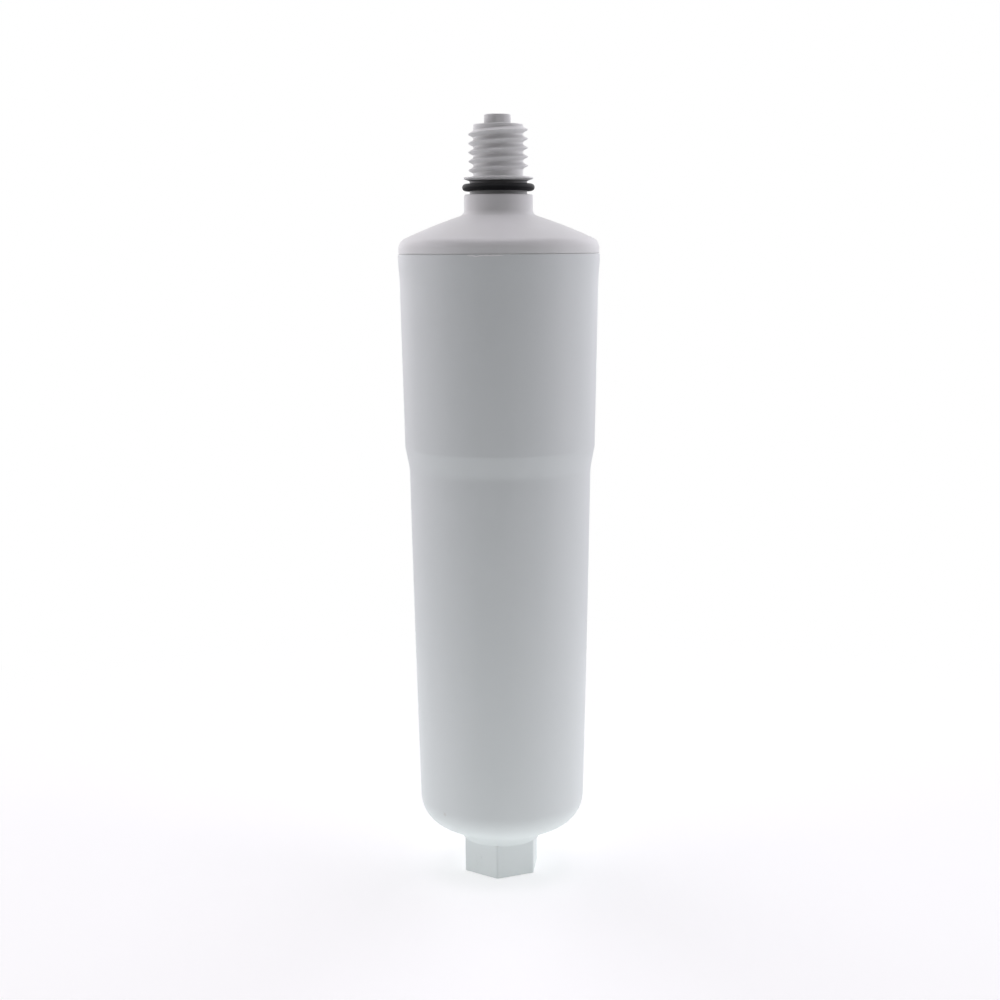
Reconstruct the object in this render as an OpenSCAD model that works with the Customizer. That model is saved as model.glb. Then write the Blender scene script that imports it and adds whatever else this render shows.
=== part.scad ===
// Screw-in water filter cartridge, standing on its hexagon boss.
// The origin is the centre of the hexagon's end face and Z runs up the axis to the nipple.
// Lengths are in millimetres and angles in degrees.

/* [Hexagon boss and dome] */
// Width across the flats of the hexagon at the bottom
hex_flats = 19.05; // [17:0.05:22]
// Height of the hexagon
hex_h = 9; // [7:0.5:14]
// Angle that the hexagon is turned against the start of the thread
hex_turn = 23.8; // [0:0.1:60]
// Height of the dome's lowest point over the hexagon
dome_lift = 2.2; // [1.6:0.1:3]
// Radius of the shallow crown of the dome
crown_r = 60; // [50:1:90]
// Radius of the knuckle between crown and side wall
knuckle_r = 8.4; // [6:0.1:10]
// Ledge between the hexagon's flats and the round boss over it
boss_ledge = 0.15; // [0.05:0.05:0.5]
// Radius of the cove between that boss and the dome
boss_cove_r = 3; // [2:0.1:3.5]
// Diameter of the coring inside the hexagon
boss_core_d = 12.5; // [8:0.5:13]
// Thickness of the floor of that coring
boss_floor = 3; // [2:0.5:5]

/* [Housing body] */
// Outside diameter where the side wall leaves the dome
foot_d = 45; // [43:0.1:47]
// Outside diameter just under the step
waist_low_d = 48.7; // [47.2:0.1:49.5]
// Outside diameter just over the step
waist_high_d = 50.95; // [50:0.05:51.8]
// Outside diameter under the weld lip
shoulder_d = 52.45; // [52:0.05:53]
// Outside diameter of the weld lip
lip_d = 53.5; // [53.4:0.1:55]
// Height of the lower draft section
low_section_h = 91; // [70:0.1:110]
// Height of the conical step
step_h = 5.8; // [4:0.1:9]
// Height of the upper draft section
high_section_h = 39.6; // [30:0.1:60]
// Height over which the wall sweeps out to the lip
flare_h = 9.5; // [6:0.5:14]
// Height of the straight weld lip
lip_h = 2; // [1:0.1:5]
// Wall thickness of the housing
wall = 2.4; // [1.8:0.1:2.8]
// Width of the ledge inside the lip that the cap's weld skirt stands over
weld_ledge = 0.75; // [0.4:0.05:1]
// Drop of the rib tops under the foot of the side wall
seat_drop = 0.8; // [0:0.1:1.5]
// Number of ribs that carry the element
seat_rib_count = 6; // [4:1:8]
// Thickness of each of those ribs
seat_rib_t = 1.8; // [1.2:0.1:3]

/* [Cap shoulder] */
// How far the cap's rim stands inside the weld lip
rim_inset = 0.2; // [0.1:0.05:0.3]
// Height of the straight rim over the weld
rim_h = 1.4; // [0.8:0.1:4]
// Radius of the shoulder's outer corner
corner_r = 3; // [2:0.1:4]
// Slope of the shoulder at its outer edge
shoulder_slope = 25; // [20:0.5:28]
// Radius that the shoulder is crowned to
shoulder_r = 130; // [100:1:260]
// Wall thickness of the cap
cap_wall = 2.6; // [2:0.1:3.2]
// Length of the weld skirt that enters the housing
skirt_h = 4.5; // [3:0.1:8]
// Thickness of the weld skirt
skirt_t = 1.8; // [1.4:0.1:2.4]
// Height of the open line along the weld
weld_line_h = 0.25; // [0.1:0.05:0.4]
// Number of ribs between shoulder and socket
cap_rib_count = 6; // [3:1:8]
// Thickness of each cap rib
cap_rib_t = 1.6; // [1:0.1:2.4]

/* [Neck] */
// Diameter of the collar under the O-ring
collar_d = 18.15; // [17.6:0.05:19]
// Radius of the cove between collar and shoulder
collar_cove_r = 1.7; // [1:0.1:3]
// Height of the straight collar over its cove
collar_h = 3.9; // [2:0.05:8]
// Diameter of the floor of the O-ring groove
groove_d = 15.15; // [14.6:0.05:15.6]
// Height of the O-ring groove
groove_h = 3.75; // [3:0.05:5]
// Cord diameter of the neck O-ring
neck_ring_cord = 1.9; // [1.6:0.05:2.4]
// Diameter of the flange over the groove
flange_d = 18.3; // [17.4:0.05:19.2]
// Height of the flange at its rim
flange_rim_h = 0.4; // [0.3:0.05:0.9]
// Height that each side of the flange gains towards the post
flange_taper_h = 0.3; // [0.2:0.05:0.8]
// Height of the post over the flange
post_h = 13.3; // [13.2:0.1:16]
// Bore of the neck round the outlet tube
neck_bore_d = 10.4; // [10:0.1:10.8]
// Outside diameter of the nipple and outlet tube
nipple_d = 7; // [6.6:0.1:7.2]
// Height of the nipple over the post
nipple_h = 2.8; // [2:0.05:4]
// Bore of the outlet
outlet_d = 4.2; // [3.6:0.1:4.6]
// Thickness of the web that carries the nipple
port_web_t = 1.8; // [1.2:0.1:3]
// Number of inlet ports round the nipple
port_count = 4; // [3:1:6]
// Chamfer on the neck's edges and at the foot of the nipple
edge_break = 0.3; // [0.1:0.05:0.5]

/* [Thread] */
// Diameter over the thread's crests
thread_major_d = 15.65; // [15.4:0.05:16.2]
// Diameter at the thread's root
thread_root_d = 13.1; // [12.8:0.05:13.6]
// Rise of the thread in one turn
thread_pitch = 2.309; // [2.1:0.001:2.5]
// Full turns of thread between its two run-outs
thread_turns = 4.5; // [3.5:0.5:4.5]
// Height of the first full crest over the flange
thread_lift = 1.55; // [1.2:0.05:1.7]
// Width of the flat on the crest
thread_crest_w = 0.15; // [0.1:0.05:0.5]
// Slope of the thread's flanks
thread_flank = 28; // [26:1:32]

/* [Filter element] */
// Water gap between the end caps and the narrowest wall
flow_gap = 1.2; // [0.8:0.1:2]
// Thickness of the end caps' rims
end_rim_t = 1.1; // [0.8:0.1:1.6]
// Height of the end caps' rims
end_rim_h = 6; // [4:0.5:10]
// Thickness of the end caps' discs
end_disc_t = 2.4; // [1.6:0.1:3.5]
// Thickness of the hot-melt bond at each end
bond_t = 0.6; // [0.3:0.1:1.2]
// Thickness of the net sleeve
net_t = 0.7; // [0.5:0.1:1]
// Rows of openings in the net sleeve
net_rows = 12; // [6:1:16]
// Openings round the net sleeve
net_columns = 10; // [6:2:14]
// Width of the strands of the net
net_strand_w = 1.5; // [1:0.1:3]
// Thickness of the non-woven wrap
wrap_t = 1.2; // [0.8:0.1:2]
// Bore of the carbon block
block_bore_d = 12; // [10:0.5:15]
// Thickness of the porous core liner
liner_t = 1.1; // [0.8:0.1:1.8]

/* [Spigot seal] */
// Bore of the socket in the cap
socket_d = 12; // [11.8:0.1:13]
// Depth of the socket
socket_h = 12; // [10:0.5:14]
// Wall thickness of the socket
socket_wall = 1.8; // [1.4:0.1:2.4]
// How far the socket's mouth hangs under the weld
socket_drop = 9; // [7:0.5:12]
// Bore of the element's spigot
spigot_bore_d = 5; // [4:0.1:5.4]
// Cord diameter of the spigot O-ring
spigot_ring_cord = 1.8; // [1.5:0.05:1.9]

/* [Clearances] */
// Play of a moulded spigot or skirt in its seat
slip_gap = 0.15; // [0.1:0.05:0.3]
// Play of a sleeve on the piece inside it
sleeve_gap = 0.1; // [0.05:0.05:0.3]
// Play between an O-ring and the walls that it seals
ring_gap = 0.03; // [0.02:0.01:0.06]
// Gap between the element's top and the socket's mouth
lift_gap = 2; // [1:0.1:3]

/* [Hidden] */

$fn = 96;
// Small overlap that joins solids of one moulding, and reach of a cutter past what it cuts
merge = 0.05;

// Radii
hex_corner_r = hex_flats / 2 / cos(30);
boss_r = hex_flats / 2 - boss_ledge;
foot_r = foot_d / 2;
rim_r = lip_d / 2 - rim_inset;
collar_r = collar_d / 2;
groove_r = groove_d / 2;
post_r = thread_root_d / 2;
crest_r = thread_major_d / 2;
tube_r = nipple_d / 2;
neck_bore_r = neck_bore_d / 2;
socket_r = socket_d / 2;

// Dome: the knuckle arc is tangent to the crown and to the side wall
crown_z = hex_h + dome_lift + crown_r;
knuckle_x = foot_r - knuckle_r;
knuckle_turn = asin(knuckle_x / (crown_r - knuckle_r));
knuckle_z = crown_z - (crown_r - knuckle_r) * cos(knuckle_turn);
// Boss cove, tangent to the boss and to the crown
boss_cove_x = boss_r + boss_cove_r;
boss_cove_z = crown_z - sqrt(pow(crown_r + boss_cove_r, 2) - pow(boss_cove_x, 2));

// Heights up the housing
step_z = knuckle_z + low_section_h;
high_z = step_z + step_h;
flare_z = high_z + high_section_h;
lip_z = flare_z + flare_h;
weld_z = lip_z + lip_h;

// Weld joint: the skirt sits in a counterbore of the housing
counterbore_r = shoulder_d / 2 - wall + weld_ledge;
skirt_r = counterbore_r - slip_gap;
counterbore_h = skirt_h + 2 * slip_gap;

// Shoulder: a crowned cone, tangent to the corner arc and to the collar's cove
corner_x = rim_r - corner_r;
corner_z = weld_z + rim_h;
edge_x = corner_x + corner_r * sin(shoulder_slope);
edge_z = corner_z + corner_r * cos(shoulder_slope);
shoulder_x = edge_x - shoulder_r * sin(shoulder_slope);
shoulder_z = edge_z - shoulder_r * cos(shoulder_slope);
collar_cove_x = collar_r + collar_cove_r;
collar_cove_z = shoulder_z
    + sqrt(pow(shoulder_r + collar_cove_r, 2) - pow(collar_cove_x - shoulder_x, 2));

// Heights up the neck
groove_z = collar_cove_z + collar_h;
flange_z = groove_z + groove_h + flange_taper_h;
post_z = flange_z + flange_rim_h + flange_taper_h;
post_top = post_z + post_h;
nipple_top = post_top + nipple_h;

// Socket that the element plugs into
socket_mouth = weld_z - socket_drop;
socket_top = socket_mouth + socket_h;

// Element, built up from the seat ribs to the socket's mouth
seat_z = knuckle_z - seat_drop;
end_r = foot_r - wall - flow_gap;
net_r = end_r - end_rim_t - slip_gap;
wrap_r = net_r - net_t - sleeve_gap;
block_r = wrap_r - wrap_t - sleeve_gap;
block_bore_r = block_bore_d / 2;
liner_r = block_bore_r - sleeve_gap;
liner_bore_r = liner_r - liner_t;
block_z = seat_z + end_disc_t + bond_t;
element_top = socket_mouth - lift_gap;
block_top = element_top - end_disc_t - bond_t;
block_h = block_top - block_z;
spigot_r = socket_r - slip_gap;
// The spigot ends short of the socket's top by the lift gap
spigot_h = socket_h;
spigot_groove_r = socket_r - spigot_ring_cord - 2 * ring_gap;
spigot_ring_z = element_top + lift_gap + 0.5 * (socket_h - lift_gap);

// Points of an arc that rounds the corner b between a and c, from the side of a to the side of c
function unit(v) = v / norm(v);
function bend(a, b, c, r, steps) =
    let (u = unit(a - b))
    let (v = unit(c - b))
    let (half = acos(u * v) / 2)
    let (middle = b + unit(u + v) * r / sin(half))
    let (start = b + u * r / tan(half))
    let (end = b + v * r / tan(half))
    [for (i = [0:steps])
        let (chord = start + (end - start) * i / steps)
        middle + unit(chord - middle) * r];

// Solid half of the domed bottom, set in by a wall thickness
module dome_profile(inset) {
    reach = crown_r * 1.1;
    intersection() {
        translate([0, crown_z])
            circle(r = crown_r - inset);
        polygon([
            [0, crown_z],
            [0, crown_z - reach],
            [reach * tan(knuckle_turn), crown_z - reach]
        ]);
    }
    intersection() {
        translate([knuckle_x, knuckle_z])
            circle(r = knuckle_r - inset);
        translate([knuckle_x - knuckle_r, knuckle_z - knuckle_r])
            square([2 * knuckle_r, knuckle_r + merge]);
    }
}

// Half section of the tapered body over the dome, set in by a wall thickness
module body_profile(inset, top_z) {
    foot = [foot_r - inset, knuckle_z];
    waist_low = [waist_low_d / 2 - inset, step_z];
    waist_high = [waist_high_d / 2 - inset, high_z];
    under_lip = [shoulder_d / 2 - inset, flare_z];
    low_blend_r = 14;
    high_blend_r = 5;
    blend_steps = 4;
    polygon(concat(
        [[0, knuckle_z], foot],
        bend(foot, waist_low, waist_high, low_blend_r, blend_steps),
        bend(waist_low, waist_high, under_lip, high_blend_r, blend_steps),
        [under_lip, [shoulder_d / 2 - inset, top_z], [0, top_z]]
    ));
}

// Half section of the sweep and the straight lip that carry the weld
module lip_profile() {
    swell = (lip_d - shoulder_d) / 2;
    sweep_r = (pow(flare_h, 2) + pow(swell, 2)) / (2 * swell);
    difference() {
        translate([0, flare_z])
            square([lip_d / 2, weld_z - flare_z]);
        intersection() {
            translate([shoulder_d / 2 + sweep_r, flare_z])
                circle(r = sweep_r, $fn = 720);
            translate([shoulder_d / 2 - merge, flare_z - merge])
                square([swell + 2 * merge, flare_h + merge]);
        }
    }
}

// Half section that fills the corner between the boss and the dome
module boss_cove_profile() {
    touch = crown_r / (crown_r + boss_cove_r);
    touch_x = boss_cove_x * touch;
    touch_z = crown_z - (crown_z - boss_cove_z) * touch;
    difference() {
        polygon([
            [0, hex_h - merge],
            [boss_r, hex_h - merge],
            [boss_r, boss_cove_z],
            [boss_cove_x, boss_cove_z],
            [touch_x, touch_z],
            [touch_x, touch_z + wall / 2],
            [0, touch_z + wall / 2]
        ]);
        translate([boss_cove_x, boss_cove_z])
            circle(r = boss_cove_r);
    }
}

module seat_ribs() {
    for (i = [0:seat_rib_count - 1])
        rotate([0, 0, i * 360 / seat_rib_count])
            translate([boss_core_d / 2 - merge, -seat_rib_t / 2, hex_h])
                cube([foot_r, seat_rib_t, seat_z - hex_h]);
}

module housing_cavity() {
    difference() {
        union() {
            rotate_extrude()
                dome_profile(wall);
            rotate_extrude()
                body_profile(wall, weld_z + merge);
            translate([0, 0, boss_floor])
                cylinder(h = crown_z - crown_r, d = boss_core_d);
            translate([0, 0, weld_z - counterbore_h])
                cylinder(h = counterbore_h + merge, r = counterbore_r);
        }
        seat_ribs();
    }
}

module housing() {
    gate_d = 5;
    gate_depth = 0.6;
    gate_stub_d = 1.6;
    color([0.93, 0.95, 0.95])
        difference() {
            union() {
                rotate([0, 0, hex_turn])
                    cylinder(h = hex_h, r = hex_corner_r, $fn = 6);
                rotate_extrude()
                    union() {
                        boss_cove_profile();
                        dome_profile(0);
                        body_profile(0, weld_z);
                        lip_profile();
                    }
            }
            housing_cavity();
            translate([0, 0, -merge])
                tube(0, gate_depth + merge, gate_d / 2, gate_stub_d / 2);
            translate([0, 0, -merge])
                cylinder(h = gate_depth / 2 + merge, d = gate_stub_d + merge);
        }
}

// Half section of the crowned shoulder, lowered by the cap's wall for its underside
module shoulder_profile(drop) {
    intersection() {
        translate([shoulder_x, shoulder_z - drop])
            circle(r = shoulder_r);
        translate([0, weld_z])
            square([edge_x, nipple_top - weld_z]);
    }
}

// Half section that fills the corner between collar and shoulder
module collar_cove_profile() {
    touch = shoulder_r / (shoulder_r + collar_cove_r);
    touch_x = shoulder_x + (collar_cove_x - shoulder_x) * touch;
    touch_z = shoulder_z + (collar_cove_z - shoulder_z) * touch;
    difference() {
        polygon([
            [0, touch_z - cap_wall / 2],
            [touch_x, touch_z - cap_wall / 2],
            [touch_x, touch_z],
            [collar_cove_x, collar_cove_z],
            [0, collar_cove_z]
        ]);
        translate([collar_cove_x, collar_cove_z])
            circle(r = collar_cove_r);
    }
}

// Half section of collar, O-ring groove, flange, post and nipple
module neck_profile() {
    polygon([
        [0, collar_cove_z - merge],
        [collar_r, collar_cove_z - merge],
        [collar_r, groove_z - edge_break],
        [collar_r - edge_break, groove_z],
        [groove_r, groove_z],
        [groove_r, groove_z + groove_h],
        [flange_d / 2, flange_z],
        [flange_d / 2, flange_z + flange_rim_h],
        [post_r, post_z],
        [post_r, post_top - edge_break],
        [post_r - edge_break, post_top],
        [tube_r + edge_break, post_top],
        [tube_r, post_top + edge_break],
        [tube_r, nipple_top - edge_break],
        [tube_r - edge_break, nipple_top],
        [0, nipple_top]
    ]);
}

// Half section of rim, corner and weld face; the rim is relieved outside the weld
module rim_profile() {
    weld_land = 0.5;
    intersection() {
        translate([corner_x, corner_z])
            circle(r = corner_r);
        translate([0, corner_z])
            square([rim_r, corner_r]);
    }
    translate([0, weld_z])
        square([rim_r - weld_land, rim_h]);
    translate([0, weld_z + weld_line_h])
        square([rim_r, rim_h - weld_line_h]);
    translate([0, weld_z - skirt_h])
        square([skirt_r, skirt_h + merge]);
}

// Half section of the room under the shoulder and inside the neck
module cap_room_profile() {
    room_r = skirt_r - skirt_t;
    difference() {
        union() {
            intersection() {
                shoulder_profile(cap_wall / cos(shoulder_slope));
                square([room_r, nipple_top]);
            }
            translate([0, weld_z - skirt_h - merge])
                square([room_r, skirt_h + 2 * merge]);
            polygon([
                [0, weld_z],
                [collar_r - cap_wall, weld_z],
                [collar_r - cap_wall, groove_z - cap_wall],
                [neck_bore_r, groove_z],
                [neck_bore_r, post_top - port_web_t],
                [0, post_top - port_web_t]
            ]);
        }
        outlet_profile();
    }
}

// Half section of the outlet tube and the socket at its foot
module outlet_profile() {
    socket_out = socket_r + socket_wall;
    polygon([
        [0, socket_mouth],
        [socket_out, socket_mouth],
        [socket_out, socket_top],
        [tube_r, socket_top + socket_out - tube_r],
        [tube_r, nipple_top],
        [0, nipple_top]
    ]);
}

module cap_ribs() {
    intersection() {
        for (i = [0:cap_rib_count - 1])
            rotate([0, 0, (i + 0.5) * 360 / cap_rib_count])
                translate([socket_r + merge, -cap_rib_t / 2, weld_z])
                    cube([corner_x - socket_r, cap_rib_t, nipple_top - weld_z]);
        rotate_extrude()
            shoulder_profile(merge);
    }
}

// Kidney-shaped inlet ports through the web between nipple and neck
module inlet_ports() {
    slot_in = tube_r + edge_break;
    slot_out = neck_bore_r;
    bar_w = 1.6;
    translate([0, 0, post_top - port_web_t - merge])
        difference() {
            cylinder(h = port_web_t + 2 * merge, r = slot_out);
            translate([0, 0, -merge])
                cylinder(h = port_web_t + 4 * merge, r = slot_in);
            for (i = [0:port_count - 1])
                rotate([0, 0, i * 360 / port_count])
                    translate([0, -bar_w / 2, -merge])
                        cube([slot_out + merge, bar_w, port_web_t + 4 * merge]);
        }
}

// Screw thread as one ridge with a run-out at each end, its root sunk in the post
module thread_ridge() {
    steps_per_turn = 36;
    run_out = 100;
    root_sink = 0.25;
    flank = (crest_r - post_r) * tan(thread_flank);
    first = 180 - run_out;
    last = 180 + 360 * thread_turns + run_out;
    count = ceil((last - first) * steps_per_turn / 360);
    function turn(i) = first + (last - first) * i / count;
    function fade(a) = min(1, (a - first) / run_out, (last - a) / run_out);
    function rise(a) = post_z + thread_lift + thread_pitch * (a - 180) / 360;
    function at(a, r, z) = [r * cos(a), r * sin(a), z];
    // A section shrinks to a low ridge under the post's surface as the thread fades
    function section(a) =
        let (low = post_r - root_sink)
        let (high = low + merge + fade(a) * (crest_r - low - merge))
        let (crest = thread_crest_w / 2)
        let (root = crest + flank * (high - low) / (crest_r - post_r))
        [at(a, low, rise(a) - root), at(a, high, rise(a) - crest),
            at(a, high, rise(a) + crest), at(a, low, rise(a) + root)];
    points = [for (i = [0:count]) each section(turn(i))];
    sides = [for (i = [0:count - 1])
        for (j = [0:3])
            let (k = (j + 1) % 4)
            each [
                [4 * i + j, 4 * i + k, 4 * i + 4 + j],
                [4 * i + k, 4 * i + 4 + k, 4 * i + 4 + j]
            ]];
    ends = [[3, 2, 1, 0], [4 * count, 4 * count + 1, 4 * count + 2, 4 * count + 3]];
    polyhedron(points = points, faces = concat(sides, ends));
}

module top_cap() {
    color([0.93, 0.94, 0.93])
        difference() {
            union() {
                difference() {
                    rotate_extrude()
                        union() {
                            shoulder_profile(0);
                            collar_cove_profile();
                            neck_profile();
                            rim_profile();
                        }
                    rotate_extrude()
                        cap_room_profile();
                }
                rotate_extrude()
                    outlet_profile();
                cap_ribs();
                thread_ridge();
            }
            inlet_ports();
            translate([0, 0, socket_mouth - merge])
                cylinder(h = socket_h + merge, r = socket_r);
            translate([0, 0, socket_mouth])
                cylinder(h = nipple_top - socket_mouth + merge, d = outlet_d);
        }
}

// O-ring round the axis, by the radius of what it sits on
module o_ring(inner_r, cord) {
    rotate_extrude()
        translate([inner_r + cord / 2, 0])
            circle(d = cord);
}

module neck_o_ring() {
    color([0.08, 0.08, 0.08])
        translate([0, 0, groove_z + groove_h / 2])
            o_ring(groove_r + ring_gap, neck_ring_cord);
}

module tube(z, h, outer_r, inner_r) {
    translate([0, 0, z])
        difference() {
            cylinder(h = h, r = outer_r);
            translate([0, 0, -merge])
                cylinder(h = h + 2 * merge, r = inner_r);
        }
}

module carbon_block() {
    color([0.15, 0.15, 0.16])
        tube(block_z, block_h, block_r, block_bore_r);
}

module prefilter_wrap() {
    color([0.96, 0.96, 0.94])
        tube(block_z, block_h, wrap_r, block_r + sleeve_gap);
}

// Net sleeve: plain bands at the ends and rows of square openings between them
module outer_net() {
    band_over_rim = 2;
    band_h = end_rim_h + band_over_rim;
    pitch_z = (block_h - 2 * band_h) / net_rows;
    pitch_x = 2 * PI * net_r / net_columns;
    color([0.9, 0.93, 0.96])
        difference() {
            tube(block_z, block_h, net_r, wrap_r + sleeve_gap);
            for (row = [0:net_rows - 1])
                for (column = [0:net_columns / 2 - 1])
                    rotate([0, 0, (column + (row % 2) / 2) * 360 / net_columns])
                        translate([-net_r - merge, -(pitch_x - net_strand_w) / 2,
                            block_z + band_h + row * pitch_z + net_strand_w / 2])
                            cube([2 * net_r + 2 * merge, pitch_x - net_strand_w, pitch_z - net_strand_w]);
        }
}

module core_liner() {
    color([0.97, 0.97, 0.97])
        tube(block_z, block_h, liner_r, liner_bore_r);
}

module upper_end_cap() {
    color([0.85, 0.88, 0.9])
        translate([0, 0, element_top])
            difference() {
                union() {
                    translate([0, 0, -end_disc_t])
                        cylinder(h = end_disc_t, r = end_r);
                    tube(-end_disc_t - end_rim_h, end_rim_h + merge, end_r, end_r - end_rim_t);
                    cylinder(h = spigot_h, r = spigot_r);
                }
                translate([0, 0, -end_disc_t - merge])
                    cylinder(h = end_disc_t + spigot_h + 2 * merge, d = spigot_bore_d);
                translate([0, 0, spigot_ring_z - element_top])
                    spigot_groove();
            }
}

// Groove that leaves the O-ring a third of its cord to spread
module spigot_groove() {
    groove_w = spigot_ring_cord * 4 / 3;
    tube(-groove_w / 2, groove_w, spigot_r + merge, spigot_groove_r);
}

// Closed end cap with a stub in the liner's bore and lugs that centre it in the housing
module lower_end_cap() {
    lug_count = 4;
    lug_w = 3;
    lug_reach = flow_gap - 2 * slip_gap;
    stub_h = 4;
    color([0.85, 0.88, 0.9]) {
        translate([0, 0, seat_z])
            cylinder(h = end_disc_t, r = end_r);
        tube(seat_z + end_disc_t - merge, end_rim_h + merge, end_r, end_r - end_rim_t);
        translate([0, 0, seat_z + end_disc_t - merge])
            cylinder(h = stub_h + merge, r = liner_bore_r - slip_gap);
        for (i = [0:lug_count - 1])
            rotate([0, 0, (i + 0.5) * 360 / lug_count])
                translate([end_r - end_rim_t / 2, -lug_w / 2, seat_z + end_disc_t])
                    cube([end_rim_t / 2 + lug_reach, lug_w, end_rim_h]);
    }
}

// Hot-melt layers that hold block, sleeves and end caps together
module upper_bond() {
    color([0.9, 0.85, 0.7])
        tube(block_top, bond_t, net_r, liner_bore_r);
}

module lower_bond() {
    color([0.9, 0.85, 0.7])
        tube(block_z - bond_t, bond_t, net_r, liner_bore_r);
}

module spigot_o_ring() {
    color([0.08, 0.08, 0.08])
        translate([0, 0, spigot_ring_z])
            o_ring(spigot_groove_r + ring_gap, spigot_ring_cord);
}

housing();
top_cap();
neck_o_ring();
carbon_block();
prefilter_wrap();
outer_net();
core_liner();
upper_end_cap();
lower_end_cap();
upper_bond();
lower_bond();
spigot_o_ring();
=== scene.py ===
import math

import bpy
from mathutils import Matrix, Vector


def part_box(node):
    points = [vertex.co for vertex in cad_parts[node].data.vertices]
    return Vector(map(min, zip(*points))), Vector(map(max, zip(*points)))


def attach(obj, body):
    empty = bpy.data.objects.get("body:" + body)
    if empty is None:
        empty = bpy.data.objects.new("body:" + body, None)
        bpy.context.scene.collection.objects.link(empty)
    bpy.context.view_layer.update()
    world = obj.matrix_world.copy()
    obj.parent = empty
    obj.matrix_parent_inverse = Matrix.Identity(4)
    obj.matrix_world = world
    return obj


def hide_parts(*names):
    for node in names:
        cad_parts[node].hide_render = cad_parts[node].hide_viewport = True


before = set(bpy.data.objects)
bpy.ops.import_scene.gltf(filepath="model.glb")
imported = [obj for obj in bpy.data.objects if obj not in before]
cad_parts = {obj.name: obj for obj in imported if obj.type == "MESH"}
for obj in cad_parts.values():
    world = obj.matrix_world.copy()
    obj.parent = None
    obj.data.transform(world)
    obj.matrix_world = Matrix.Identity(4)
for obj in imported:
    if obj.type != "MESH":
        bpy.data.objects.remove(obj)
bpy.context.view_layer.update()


# Housing: one injection moulding in off-white polypropylene. Two drafted sections with a step
# between them, a domed bottom on a round boss, and a hexagon for a spanner. The filter element
# stands on six ribs inside, and the cap is spin-welded into the counterbore at the top.
mm = 0.001
wall = 2.4
crown_radius, crown_centre = 60.0, (0.0, 71.2)
knuckle_radius, knuckle_centre = 8.4, (14.1, 21.564)
knuckle_turn = -74.14
boss_radius, boss_foot, boss_flare = 10.6, 9.15, math.radians(30)
waist_low, waist_high, under_lip = (24.35, 112.564), (25.475, 118.364), (26.225, 157.964)
lip_radius, lip_edge, lip_foot, weld_height = 26.70, 0.15, 167.464, 169.464
hexagon_flats, hexagon_height, hexagon_turn = 19.05, 9.0, 23.8


def arc(centre, radius, start, end, steps):
    """Points of an arc in a half section, its angles in degrees from the outward direction."""
    angles = [math.radians(start + (end - start) * i / steps) for i in range(steps + 1)]
    return [(centre[0] + radius * math.cos(a), centre[1] + radius * math.sin(a)) for a in angles]


def blend(before, corner, after, radius, steps=6):
    """Points of an arc that rounds a corner of a half section."""
    before, corner, after = Vector(before), Vector(corner), Vector(after)
    to_before, to_after = (before - corner).normalized(), (after - corner).normalized()
    half = to_before.angle(to_after) / 2
    centre = corner + (to_before + to_after).normalized() * radius / math.sin(half)
    start = corner + to_before * radius / math.tan(half)
    end = corner + to_after * radius / math.tan(half)
    chords = [start.lerp(end, i / steps) - centre for i in range(steps + 1)]
    return [tuple(centre + chord.normalized() * radius) for chord in chords]


def outlined(name, points, aside=0.0):
    """A closed outline of (radius, height) points in millimetres, at that distance from the axis."""
    bpy.ops.object.select_all(action="DESELECT")
    bpy.ops.mesh.primitive_circle_add(vertices=len(points), radius=10 * mm)
    shape = bpy.context.object
    shape.name = name
    for vertex, (radius, height) in zip(shape.data.vertices, points):
        vertex.co = (radius * mm, aside * mm, height * mm)
    return shape


def turned(name, section, steps=180, sweep=360.0):
    """Spins a half section into a solid round the axis."""
    solid = outlined(name, section)
    bpy.ops.object.mode_set(mode="EDIT")
    bpy.ops.mesh.select_all(action="SELECT")
    if sweep < 360:
        bpy.ops.mesh.edge_face_add()
    bpy.ops.mesh.spin(steps=steps, angle=math.radians(sweep), center=(0, 0, 0), axis=(0, 0, -1))
    bpy.ops.mesh.select_all(action="SELECT")
    bpy.ops.mesh.remove_doubles(threshold=0.002 * mm)
    bpy.ops.mesh.delete_loose(use_verts=True, use_edges=True, use_faces=False)
    bpy.ops.mesh.select_all(action="SELECT")
    bpy.ops.mesh.normals_make_consistent(inside=False)
    bpy.ops.object.mode_set(mode="OBJECT")
    return solid


def apply_modifier(solid, kind, **settings):
    """Adds a modifier with these settings to a solid and applies it."""
    modifier = solid.modifiers.new(kind.lower(), kind)
    for key, value in settings.items():
        setattr(modifier, key, value)
    bpy.ops.object.select_all(action="DESELECT")
    solid.select_set(True)
    bpy.context.view_layer.objects.active = solid
    bpy.ops.object.modifier_apply(modifier=modifier.name)


def combine(solid, tool, operation):
    """Joins a tool to a solid, or cuts the solid with it, and takes the tool away."""
    apply_modifier(solid, "BOOLEAN", operation=operation, solver="EXACT", object=tool)
    bpy.data.objects.remove(tool)


def smooth(solid, angle=30):
    """Shades a solid smooth but for its edges over that angle."""
    bpy.ops.object.select_all(action="DESELECT")
    solid.select_set(True)
    bpy.context.view_layer.objects.active = solid
    bpy.ops.object.shade_smooth_by_angle(angle=math.radians(angle))


def moved_aside(solid, aside, still_height, moved_height):
    """Moves a solid sideways, from nothing at one height to the whole distance at the other."""
    for vertex in solid.data.vertices:
        share = (vertex.co.z / mm - still_height) / (moved_height - still_height)
        share = min(1, max(0, share))
        vertex.co.x += aside * mm * share ** 2 * (3 - 2 * share)


def bowed(foot, head, bow, steps):
    """Points of a wall that stands out by a small bow half way up."""
    share = [i / steps for i in range(steps)]
    return [(foot[0] + (head[0] - foot[0]) * u + 4 * bow * u * (1 - u),
             foot[1] + (head[1] - foot[1]) * u) for u in share]


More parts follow.
